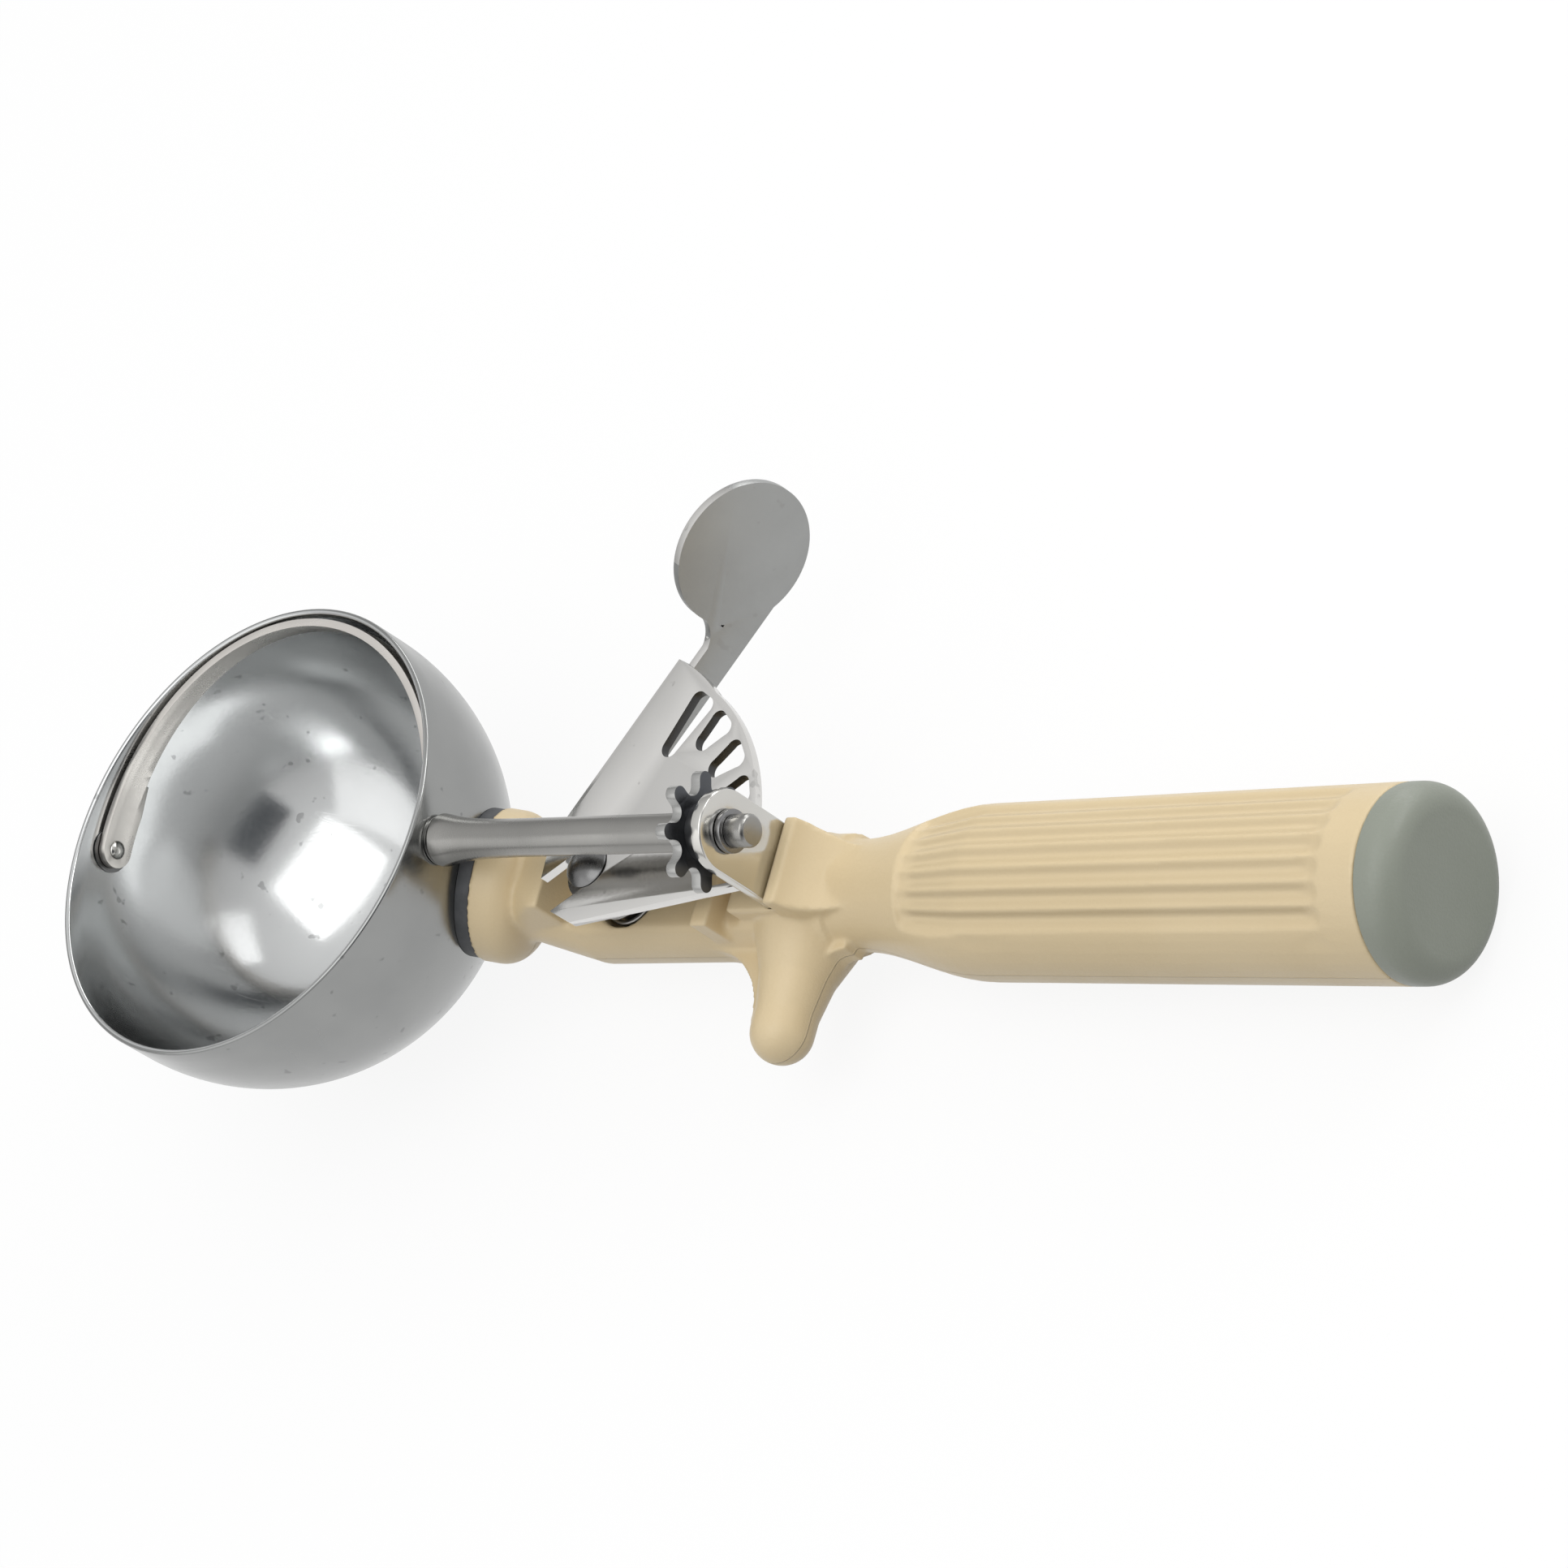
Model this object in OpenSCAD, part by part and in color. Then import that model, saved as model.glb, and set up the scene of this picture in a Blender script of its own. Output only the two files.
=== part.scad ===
// Lever ice cream scoop: bowl with sweeping blade, driven by a thumb lever through a pinion.
// Frame: origin at the centre of the bowl mouth, +X along the handle, +Z out of the mouth, mm.

/* [Bowl] */
// outer radius of the bowl
bowl_r = 34; // [25:0.1:45]
// sheet thickness of the bowl
bowl_t = 0.9; // [0.6:0.05:1.5]
// straight band between the hemisphere and the rim
band_h = 5.8; // [3:0.1:10]

/* [Blade] */
// gap between blade and bowl wall
blade_gap = 0.35; // [0.3:0.05:0.6]
// thickness of the blade
blade_t = 1.1; // [0.6:0.05:2]
// width of the blade at its ends
blade_w = 5.2; // [4:0.1:9]
// lower edge of the blade at its ends, from its centre line
blade_low = 2.0; // [1:0.05:3]
// rise of the lower edge toward the middle, per millimetre
blade_rise = 0.06; // [0:0.005:0.07]
// angle of the resting blade above the sweep axis
blade_rest = 6.3; // [0:0.05:12]
// shank radius of the front rivet
rivet_r = 0.9; // [0.6:0.05:1.5]
// head radius of the front rivet
rivet_head_r = 1.4; // [1:0.05:2.5]
// outer radius of the blade spacers
spacer_r = 3.2; // [2.4:0.05:3.2]

/* [Shaft] */
// radius of the rod
rod_r = 2.25; // [1.8:0.05:3]
// radius of the rod's front tenon
tenon_r = 1.6; // [1.2:0.05:2]
// radius of the tube over the rod
sleeve_r = 2.6; // [2.4:0.05:3.5]
// radius of the tube's flared front end
flare_r = 3.65; // [3:0.05:5]
// length over which the flare dies out
flare_l = 3.6; // [2:0.1:8]
// length of the rod behind the bearing plate
rod_tail = 4.3; // [2:0.1:9]
// radius of the snap ring
ring_r = 2.95; // [2.6:0.05:4]
// thickness of the snap ring
ring_t = 0.9; // [0.6:0.05:1.2]

/* [Pinion] */
// number of teeth
teeth = 8; // [8:1:8]
// radius to the tips of the teeth
tip_r = 8.0; // [7.6:0.05:8.2]
// width of a tooth
tooth_w = 2.2; // [1.6:0.05:2.4]
// radius on which the gullets between the teeth lie
gullet_pr = 6.6; // [6:0.05:7]
// room for the washer between the pinion and the bearing plate
spacing = 2.2; // [2.1:0.05:2.3]
// thickness of the pinion
pinion_t = 1.6; // [1.2:0.05:1.8]
// turn of the resting pinion
pinion_phase = 21.8; // [15:0.1:28]

/* [Lever] */
// pivot of the lever along X
piv_x = 56.0; // [54:0.1:58]
// pivot of the lever along Y
piv_y = -1.2; // [-3:0.1:1]
// outer radius of the sector
sector_r = 29.0; // [27:0.05:29]
// radius of the sector's horn beside the flange
horn_r = 25.3; // [24.5:0.05:25.5]
// distance of the horn's centre from the pivot
horn_d = 6.7; // [6:0.1:7]
// direction of the horn's centre at rest
horn_a = 110; // [100:1:115]
// top of the sector plate below the bowl mouth
plate_top = 12.3; // [12:0.05:12.6]
// thickness of the sector plate
plate_t = 1.4; // [1:0.05:1.6]
// middle direction of the sector at rest
sector_mid = 35.5; // [30:0.1:40]
// half the angle between the sector's edges
sector_half = 26; // [22:0.1:30]
// distance of the flanged edge from the pivot
edge_hi = 9.05; // [8:0.05:10]
// distance of the plain edge from the pivot
edge_lo = 8.35; // [7:0.05:9]
// angle between neighbouring slots
slot_pitch = 13.4; // [13:0.05:14]
// direction of the first tooth slot at rest
slot_first = 9.1; // [8:0.05:10]
// inner end of the tooth slots
slot_in = 21.9; // [20:0.05:24]
// outer end of the tooth slots
slot_out = 28.0; // [27.8:0.05:28.1]
// half width of a tooth slot at its outer end
slot_r = 2.25; // [2.2:0.05:2.35]
// corner radius at a tooth slot's outer end
slot_corner = 1.3; // [1:0.05:1.5]
// inner radius of a tooth slot's end
slot_ri = 1.45; // [1:0.05:1.8]
// direction of the long slot at rest
long_dir = 61.4; // [61:0.1:62]
// inner end of the long slot
long_in = 17.9; // [16:0.1:20]
// width of the notch that takes the post
notch_w = 6.0; // [5:0.05:7]
// reach of the two lobes behind the pivot
lobe_u = 7.5; // [6:0.1:9]
// height of the side flange
flange_h = 7.35; // [6:0.05:8.5]
// thickness of the side flange
flange_t = 1.3; // [1:0.05:1.6]
// radius of the thumb pad
pad_r = 10.4; // [8:0.1:13]
// distance of the pad's centre beyond the sector's corner
pad_s = 16.8; // [13:0.1:20]
// height of the pad's centre above the plate
pad_z = 2.4; // [0:0.1:5]
// inner radius between the plate's corner and the pad
leaf_round = 4.6; // [4.5:0.1:5]

/* [Post and spring] */
// running clearance of the lever on the post
post_gap = 0.05; // [0.02:0.01:0.1]
// radius of the post's shoulder
post_r = 3.5; // [3.2:0.05:4]
// length of the post's stake in the handle
stake_l = 8; // [5:0.5:9]
// radius of the post's stake
stake_r = 2.4; // [1.5:0.1:2.6]
// radius of the post's head
post_head_r = 3.5; // [3.3:0.05:5]
// wire radius of the spring
wire_r = 0.4; // [0.3:0.05:0.6]
// mean radius of the coils
coil_r = 4.3; // [4.2:0.05:5]
// number of coils
coils = 4.5; // [3:0.5:6]

/* [Handle] */
// depth of the grip's axis below the bowl mouth
grip_z = 27.1; // [24:0.1:30]
// radius of the neck
neck_r = 8.6; // [7:0.1:10]
// flat deck under the lever, below the bowl mouth
deck_z = 21.3; // [21:0.05:22]
// end of the block behind the boss along X
block_x = 46; // [44:0.1:46.5]
// top of the block below the bowl mouth
block_z = 14.5; // [14.4:0.05:16]
// start of the straight neck along X
neck_x = 47.5; // [47:0.1:54]
// radius of the waist
waist_r = 7.5; // [7:0.1:9]
// position of the waist along X
waist_x = 94; // [92:0.5:98]
// radius of the grip behind its shoulder
grip_r = 11.65; // [10:0.05:14]
// position of the shoulder along X
shoulder_x = 117; // [110:0.5:125]
// radius of the grip at the cap
grip_end_r = 12.65; // [11:0.05:15]
// end of the grip along X
grip_end = 183.3; // [150:0.1:200]
// number of flutes
flutes = 7; // [3:2:9]
// angle between neighbouring flutes
flute_pitch = 14; // [10:0.5:20]
// radius of a flute
flute_r = 3.2; // [2:0.1:5]
// depth of a flute
flute_d = 0.6; // [0.2:0.05:1]
// start of the flutes behind the waist
flute_lead = 12.5; // [10:0.5:16]
// plain length between the flutes and the cap
flute_tail = 7.3; // [5:0.1:40]
// radius of the boss behind the bowl
boss_r = 10.7; // [9:0.1:13]
// tilt of the boss axis below the handle axis
boss_tilt = 25.5; // [15:0.5:35]
// gap between the bowl and the boss, filled by the gasket
boss_gap = 0.4; // [0.2:0.05:2]
// thickness of the boss
boss_t = 6.5; // [5:0.1:9]
// distance of the gasket's edge inside the boss's edge
gasket_in = 0.3; // [0.1:0.05:1.5]
// rounding of the boss's rear edge
boss_round = 4; // [1:0.1:4.5]
// radius at which the neck leaves the boss
boss_neck_r = 6.4; // [5:0.1:8]
// position of the finger hook along X
hook_x = 85.5; // [84:0.1:90]
// radius of the finger hook
hook_r = 4.35; // [4:0.05:6]
// height of the webs beside the finger hook
web_h = 4.2; // [3:0.1:6]
// radius of the web on the bowl's side of the hook
web_front = 10.5; // [6:0.1:12]
// radius of the web on the grip's side of the hook
web_rear = 4.5; // [3:0.1:8]
// reach of the finger hook from the axis
hook_y = 24.0; // [20:0.1:30]
// top of the wall behind the bearing plate, below the bowl mouth
wall_z = 14.9; // [14:0.1:16]
// half width of the wall
wall_w = 6.2; // [5.8:0.1:7]
// front of the raised platform before the bearing plate along X
platform_x = 78; // [76.5:0.1:82]
// top of the platform below the bowl mouth
platform_z = 18; // [17.5:0.1:20]
// front of the cross rib along X
rib_x = 72.4; // [65:0.1:73]
// thickness of the cross rib
rib_t = 3; // [2:0.1:3.5]
// top of the cross rib below the bowl mouth
rib_z = 17.6; // [16:0.1:20]

/* [Bearing plate] */
// front face of the bearing plate along X
ear_x = 85.2; // [85.1:0.05:85.4]
// thickness of the bearing plate
ear_t = 1.8; // [1.4:0.05:2]
// half width of the bearing plate
ear_r = 5.6; // [5:0.05:6.5]

/* [End cap] */
// length of the cap
cap_l = 5.5; // [4:0.1:8]
// rounding of the cap
cap_round = 3.6; // [2:0.1:5]
// radius of the cap's spigot
spigot_r = 8.5; // [6:0.1:10]
// length of the cap's spigot
spigot_l = 12; // [8:0.5:20]

/* [View] */
// node to show

/* [Hidden] */
$fn = 96;
fit = 0.05;
axis_z = -band_h;
in_r = bowl_r - bowl_t;
blade_ro = in_r - blade_gap;
blade_ri = blade_ro - blade_t;
spacer_x = blade_ro + 0.03;
spacer_t = sqrt(in_r * in_r - spacer_r * spacer_r) - spacer_x - 0.01;
hole_r = 2.7;
face_x = bowl_r + 0.4;
boss_at = bowl_r + boss_gap;
tooth_pitch = 360 / teeth;
gullet_r = gullet_pr * sin(tooth_pitch / 2) - tooth_w / 2;
ear_back = ear_x + ear_t;
pinion_x = ear_x - spacing - pinion_t;
rod_end = ear_back + rod_tail;
groove_r = rod_r - 0.6;
ring_x = ear_back + 0.1;
plate_z = -plate_top;
corner_t = horn_d * cos(horn_a - sector_mid - sector_half)
    + sqrt(horn_r * horn_r - pow(edge_hi - horn_d * sin(horn_a - sector_mid - sector_half), 2));
lobe_t = -1.5;
pocket_r = coil_r + wire_r + 0.5;
pocket_z = -deck_z - 3.9;
spring_z0 = pocket_z + wire_r + 0.1;
spring_z1 = plate_z - plate_t - wire_r - 0.95;

// point of a sector edge at the distance t, on the side s, offset d from the pivot
function edge_pt(t, s, d) =
    [t * cos(sector_half) - d * sin(sector_half), s * (t * sin(sector_half) + d * cos(sector_half))];
// smooth step from 0 to 1
function ease(t) = t <= 0 ? 0 : t >= 1 ? 1 : t * t * (3 - 2 * t);
// radius of the handle at the position x
function grip_at(x) =
    x < waist_x ? waist_r + (neck_r - waist_r) * ease((waist_x - x) / 8)
    : waist_r + (grip_r - waist_r) * ease((x - waist_x) / (shoulder_x - waist_x))
        + (grip_end_r - grip_r) * max(0, (x - shoulder_x) / (grip_end - shoulder_x));
// radius of the flared tube at the distance d from its front end
function flare_at(d) = sleeve_r + (flare_r - sleeve_r) * exp(-d / flare_l);

// places its child on the sweep axis, turned so that +Z runs along +X
module on_axis(x) {
    translate([x, 0, axis_z])
        rotate([0, 90, 0])
            children();
}

// places its child on the boss axis, +Z pointing away from the bowl
module on_boss(d) {
    translate([0, 0, axis_z])
        rotate([0, 90 + boss_tilt, 0])
            translate([0, 0, d])
                children();
}

// half section of the cup of radius r, up to the height top
module cup(r, top) {
    intersection() {
        union() {
            circle(r = r);
            square([r, top]);
        }
        translate([0, -r - 1])
            square([r + 1, r + 1 + top]);
    }
}

module bowl() {
    color([0.78, 0.78, 0.77])
    difference() {
        translate([0, 0, axis_z])
            rotate_extrude()
                difference() {
                    cup(bowl_r, band_h);
                    cup(in_r, band_h + 1);
                }
        on_axis(20)
            cylinder(r = hole_r, h = 20);
        on_axis(-40)
            cylinder(r = rivet_r + fit / 2, h = 20);
    }
}

module blade() {
    color([0.74, 0.72, 0.71])
    translate([0, 0, axis_z])
        rotate([blade_rest, 0, 0])
            difference() {
                intersection() {
                    difference() {
                        sphere(r = blade_ro);
                        sphere(r = blade_ri);
                    }
                    union() {
                        translate([-40, 0, -blade_w / 2])
                            cube([80, 40, blade_w]);
                        rotate([0, 90, 0])
                            cylinder(r = blade_w / 2, h = 80, center = true);
                    }
                }
                rotate([atan(blade_rise), 0, 0])
                    translate([-31, 3, -blade_low - 20])
                        cube([62, 60, 20]);
                rotate([0, 90, 0])
                    cylinder(r = tenon_r + fit / 2, h = 40);
                rotate([0, -90, 0])
                    cylinder(r = rivet_r + fit, h = 40);
            }
}

// domed head of radius r and height h
module dome(r, h) {
    big = (r * r + h * h) / (2 * h);
    intersection() {
        translate([0, 0, h - big])
            sphere(r = big);
        cylinder(r = r, h = h);
    }
}

module blade_front_rivet() {
    color([0.8, 0.8, 0.8])
    translate([0, 0, axis_z]) {
        translate([-blade_ri + 0.06, 0, 0])
            rotate([0, 90, 0])
                dome(rivet_head_r, 0.6);
        translate([-bowl_r - 0.1, 0, 0])
            rotate([0, 90, 0])
                cylinder(r = rivet_r, h = bowl_r - blade_ri + 0.2);
        translate([-bowl_r, 0, 0])
            rotate([0, -90, 0])
                dome(rivet_head_r + 0.3, 0.6);
    }
}

// flat spacer of the bore radius b
module spacer(b) {
    difference() {
        cylinder(r = spacer_r, h = spacer_t);
        translate([0, 0, -1])
            cylinder(r = b, h = 3);
    }
}

module blade_front_washer() {
    color([0.6, 0.6, 0.6])
    on_axis(-spacer_x - spacer_t)
        spacer(rivet_r + fit);
}

module blade_rear_washer() {
    color([0.6, 0.6, 0.6])
    on_axis(spacer_x)
        spacer(tenon_r + fit);
}

module shaft_bush() {
    color([0.66, 0.66, 0.66])
    on_axis(0)
        difference() {
            union() {
                translate([0, 0, in_r - 0.08])
                    cylinder(r = hole_r - fit / 2, h = bowl_t + 0.2);
                translate([0, 0, bowl_r + 0.02])
                    cylinder(r = flare_r - 0.15, h = 0.32);
            }
            cylinder(r = tenon_r + fit, h = 60);
        }
}

module shaft() {
    color([0.7, 0.7, 0.69])
    on_axis(0)
        difference() {
            union() {
                translate([0, 0, blade_ri - 0.06])
                    mirror([0, 0, 1])
                        dome(2.3, 0.6);
                translate([0, 0, blade_ri - 0.2])
                    cylinder(r = tenon_r, h = face_x - blade_ri + 1);
                translate([0, 0, face_x])
                    cylinder(r = rod_r, h = rod_end - face_x - 0.4);
                translate([0, 0, rod_end - 0.4])
                    cylinder(r1 = rod_r, r2 = rod_r - 0.4, h = 0.4);
            }
            translate([0, 0, ring_x - fit])
                difference() {
                    cylinder(r = 6, h = ring_t + 2 * fit);
                    translate([0, 0, -1])
                        cylinder(r = groove_r, h = 4);
                }
        }
}

module shaft_sleeve() {
    color([0.72, 0.71, 0.7])
    on_axis(face_x)
        rotate_extrude()
            difference() {
                polygon(concat(
                    [[0, 0.35], [flare_r - 0.35, 0]],
                    [for (i = [0 : 20]) [flare_at(i * 0.8 - 0.6 < 0 ? 0 : i * 0.8 - 0.6), 0.6 + i * 0.8]],
                    [[sleeve_r, pinion_x - face_x - 0.4], [sleeve_r - 0.3, pinion_x - face_x - 0.02],
                    [0, pinion_x - face_x - 0.02]]));
                translate([0, -1])
                    square([rod_r + fit / 2, 60]);
            }
}

// flat outline of the pinion
module pinion_flat() {
    difference() {
        circle(r = 6.1);
        for (i = [0 : teeth - 1])
            rotate(tooth_pitch * (i + 0.5))
                translate([gullet_pr, 0])
                    circle(r = gullet_r);
    }
    for (i = [0 : teeth - 1])
        rotate(tooth_pitch * i) {
            translate([3, -tooth_w / 2])
                square([tip_r - tooth_w / 2 - 3, tooth_w]);
            translate([tip_r - tooth_w / 2, 0])
                circle(r = tooth_w / 2);
        }
}

module pinion() {
    color([0.35, 0.36, 0.37])
    translate([pinion_x, 0, axis_z])
        rotate([90 - pinion_phase, 0, 0])
            rotate([90, 0, 90])
                linear_extrude(height = pinion_t)
                    difference() {
                        pinion_flat();
                        circle(r = rod_r + fit / 2);
                    }
}

module pinion_washer() {
    color([0.5, 0.5, 0.5])
    on_axis(pinion_x + pinion_t + 0.02)
        difference() {
            cylinder(r = 4.2, h = spacing - 0.1);
            translate([0, 0, -1])
                cylinder(r = rod_r + fit / 2, h = 6);
        }
}

module bearing_plate() {
    color([0.75, 0.75, 0.74])
    difference() {
        union() {
            on_axis(ear_x)
                cylinder(r = ear_r, h = ear_t);
            translate([ear_x, -ear_r, -deck_z - 3.4])
                cube([ear_t, 2 * ear_r, deck_z + 3.4 - band_h]);
        }
        on_axis(ear_x - 5)
            cylinder(r = rod_r + fit, h = 10);
    }
}

module retaining_ring() {
    color([0.2, 0.2, 0.2])
    on_axis(ring_x)
        difference() {
            cylinder(r = ring_r, h = ring_t);
            translate([0, 0, -1])
                cylinder(r = groove_r + fit / 2, h = 4);
            translate([ring_r - 1.1, -0.6, -1])
                cube([3, 1.2, 4]);
        }
}

// slot for one tooth, along +X of the flat
module tooth_slot(inner) {
    mid = slot_out - slot_corner;
    for (s = [-1, 1])
        translate([mid, s * (slot_r - slot_corner)])
            circle(r = slot_corner);
    translate([mid, -slot_r + slot_corner])
        square([slot_corner, 2 * (slot_r - slot_corner)]);
    translate([inner + slot_ri, 0])
        circle(r = slot_ri);
    polygon([[inner + slot_ri, -slot_ri], [mid, -slot_r], [mid, slot_r], [inner + slot_ri, slot_ri]]);
}

// outline of the sector between its edges, the plain edge moved in by d
module sector_edges(d) {
    polygon([[-lobe_u, -notch_w / 2], edge_pt(lobe_t, -1, edge_lo - d), edge_pt(45, -1, edge_lo - d),
        edge_pt(45, 1, edge_hi - flange_t / 2), edge_pt(lobe_t, 1, edge_hi - flange_t / 2),
        [-lobe_u, notch_w / 2]]);
}

// flat outline of the sector around the pivot, middle direction along +X
module sector_flat() {
    difference() {
        intersection() {
            union() {
                circle(r = sector_r, $fn = 180);
                rotate(horn_a - sector_mid)
                    translate([horn_d, 0])
                        circle(r = horn_r, $fn = 180);
            }
            sector_edges(0);
        }
        circle(r = notch_w / 2);
        translate([-20, -notch_w / 2])
            square([20, notch_w]);
        intersection() {
            sector_edges(0.8);
            for (i = [-1 : 3])
                rotate(slot_first + slot_pitch * i - sector_mid)
                    tooth_slot(slot_in);
        }
        rotate(long_dir - sector_mid)
            tooth_slot(long_in);
    }
}

// outline of the side flange and the thumb pad, along the edge and up
module flange_flat() {
    polygon([[lobe_t + 0.4, -0.06], [lobe_t + 0.4, -2.5], [lobe_t + 6, -flange_h],
        [corner_t + pad_s, -flange_h], [corner_t + pad_s, -2], [corner_t + 0.3, -2],
        [corner_t + 0.1, -0.06]]);
    translate([corner_t + pad_s, pad_z])
        circle(r = pad_r);
    difference() {
        translate([corner_t + 2, -2.5])
            square([leaf_round + 0.4, pad_z + 2.3]);
        translate([corner_t + 2.1, pad_z])
            circle(r = leaf_round);
    }
}

module lever() {
    color([0.77, 0.77, 0.76])
    translate([piv_x, piv_y, 0]) {
        rotate(sector_mid)
            translate([0, 0, plate_z - plate_t])
                linear_extrude(height = plate_t)
                    sector_flat();
        rotate(sector_mid + sector_half)
            translate([0, edge_hi, plate_z])
                rotate([90, 0, 0])
                    linear_extrude(height = flange_t)
                        flange_flat();
    }
}

module lever_pivot() {
    under = plate_z - plate_t;
    color([0.5, 0.5, 0.5])
    translate([piv_x, piv_y, 0]) {
        translate([0, 0, pocket_z - stake_l])
            cylinder(r = stake_r, h = stake_l + 1);
        translate([0, 0, pocket_z + 0.02])
            cylinder(r = post_r, h = under - 0.5 - pocket_z - 0.02);
        translate([0, 0, under - 1])
            cylinder(r = notch_w / 2 - post_gap, h = plate_t + 1.2);
        translate([0, 0, plate_z + 0.06])
            dome(post_head_r, 1.1);
    }
}

module lever_washer() {
    color([0.45, 0.45, 0.45])
    translate([piv_x, piv_y, plate_z - plate_t - 0.46])
        difference() {
            cylinder(r = 4.5, h = 0.42);
            translate([0, 0, -1])
                cylinder(r = notch_w / 2, h = 3);
        }
}

// centre line of the spring wire: coils, then the straight leg
function coil_pt(a) =
    [coil_r * cos(a), coil_r * sin(a), spring_z0 + (spring_z1 - spring_z0) * (a - coil_a0) / (360 * coils)];
coil_a1 = sector_mid + sector_half;
coil_a0 = coil_a1 - 360 * coils;
leg_l = edge_hi - flange_t - 0.1;

module return_spring() {
    rings = 8 * coils;
    turn = [for (i = [0 : rings]) coil_a0 + 360 * coils * i / rings];
    leg = [-sin(coil_a1), cos(coil_a1), 0] * leg_l;
    path = concat([for (a = turn) coil_pt(a)], [coil_pt(coil_a1) + leg]);
    side = concat(turn, [coil_a1]);
    count = len(path);
    echo(coil_gap = (spring_z1 - spring_z0) / coils - 2 * wire_r);
    color([0.6, 0.6, 0.6])
    translate([piv_x, piv_y, 0])
        polyhedron(
            points = [for (i = [0 : count - 1]) for (k = [0 : 5])
                path[i] + wire_r * (cos(60 * k) * [cos(side[i]), sin(side[i]), 0] + sin(60 * k) * [0, 0, 1])],
            faces = concat(
                [for (i = [0 : count - 2]) for (k = [0 : 5])
                    [6 * i + k, 6 * i + (k + 1) % 6, 6 * i + 6 + (k + 1) % 6, 6 * i + 6 + k]],
                [[5, 4, 3, 2, 1, 0]],
                [[for (k = [0 : 5]) 6 * (count - 1) + k]]));
}

// section of the neck across the handle axis, deck on top
module neck_flat() {
    top = grip_z - deck_z;
    difference() {
        circle(r = neck_r);
        translate([-20, top])
            square([40, 20]);
    }
    for (s = [-1, 1])
        translate([s * 5.8, top - 1.6])
            circle(r = 1.6);
    translate([-7.4, 0])
        square([14.8, top - 1.6]);
    translate([-5.8, 0])
        square([11.6, top]);
}

// places its child at x on the handle axis, +Z along +X and +Y up
module on_grip(x) {
    translate([x, 0, -grip_z])
        rotate([90, 0, 90])
            children();
}

// solid of the handle's profile from x0 to x1, turned about the grip axis
module grip_span(x0, x1, steps) {
    translate([x0, 0, 0])
        rotate([0, 90, 0])
            rotate_extrude()
                polygon(concat([[0, 0]],
                    [for (i = [0 : steps]) let (x = x0 + (x1 - x0) * i / steps) [grip_at(x), x - x0]],
                    [[0, x1 - x0]]));
}

module grip_body() {
    translate([0, 0, -grip_z]) {
        grip_span(waist_x - 8, shoulder_x, 14);
        grip_span(shoulder_x - 0.01, grip_end, 1);
    }
}

// one flute, cut along the grip at the top
module flute() {
    xa = waist_x + flute_lead;
    xb = shoulder_x + 1;
    xc = grip_end - flute_tail;
    ra = grip_at(xa) + flute_r - flute_d;
    rb = grip_at(xb) + flute_r - flute_d;
    rc = grip_at(xc) + flute_r - flute_d;
    slope = atan((rb - ra) / (xb - xa));
    taper = atan((rc - rb) / (xc - xb));
    translate([xa, 0, ra])
        rotate([0, 90 - slope, 0])
            cylinder(r = flute_r, h = (xb - xa) / cos(slope) + 3);
    translate([xb, 0, rb])
        rotate([0, 90 - taper, 0])
            translate([0, 0, -3])
                cylinder(r = flute_r, h = xc - xb + 3);
    translate([xc, 0, rc])
        sphere(r = flute_r);
}

module boss_body() {
    on_boss(boss_at)
        rotate_extrude()
            difference() {
                union() {
                    square([boss_r, boss_t - boss_round]);
                    square([boss_r - boss_round, boss_t]);
                    translate([boss_r - boss_round, boss_t - boss_round])
                        circle(r = boss_round);
                }
                translate([-20, -20])
                    square([20, 60]);
                translate([-1, -20])
                    square([40, 20]);
            }
}

module front_body() {
    difference() {
        hull() {
            on_boss(boss_at + boss_t - 2.2)
                cylinder(r = boss_neck_r, h = 1, $fn = 32);
            on_grip(neck_x)
                cylinder(r = neck_r, h = 0.5, $fn = 32);
        }
        translate([block_x, -20, -deck_z])
            cube([20, 40, 20]);
    }
    hull() {
        on_boss(boss_at + boss_t - 2.2)
            cylinder(r = boss_r - 3.5, h = 1, $fn = 32);
        translate([block_x - 1.5, -6.2, -grip_z])
            cube([1.5, 12.4, grip_z - block_z]);
    }
}

module wall_body() {
    back = ear_back + 0.1;
    intersection() {
        translate([0, 20, 0])
            rotate([90, 0, 0])
                linear_extrude(height = 40)
                    difference() {
                        translate([back, -grip_z])
                            square([9.6, grip_z - wall_z]);
                        translate([back + 9.6, -wall_z + 2.3])
                            circle(r = 8);
                    }
        translate([0, 0, -40])
            linear_extrude(height = 40)
                polygon([[back, -wall_w], [back + 2.5, -wall_w], [back + 9.7, -4.2],
                    [back + 9.7, 4.2], [back + 2.5, wall_w], [back, wall_w]]);
    }
    translate([platform_x, -6, -grip_z])
        cube([back - platform_x, 12, grip_z - platform_z]);
    translate([rib_x, -8, -grip_z])
        cube([rib_t, 13.5, grip_z - rib_z]);
}

// web of radius r that rounds the corner between the neck and the hook's side at x
module hook_web(x, r, side) {
    translate([0, 0, -grip_z - web_h / 2])
        linear_extrude(height = web_h)
            difference() {
                polygon([[hook_x, -5], [x + side * r, -5], [x + side * r, -neck_r + 0.1],
                    [x - side * 0.1, -neck_r + 0.1 - r], [hook_x, -neck_r - r]]);
                translate([x + side * r, -neck_r + 0.1 - r])
                    circle(r = r);
            }
}

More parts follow.
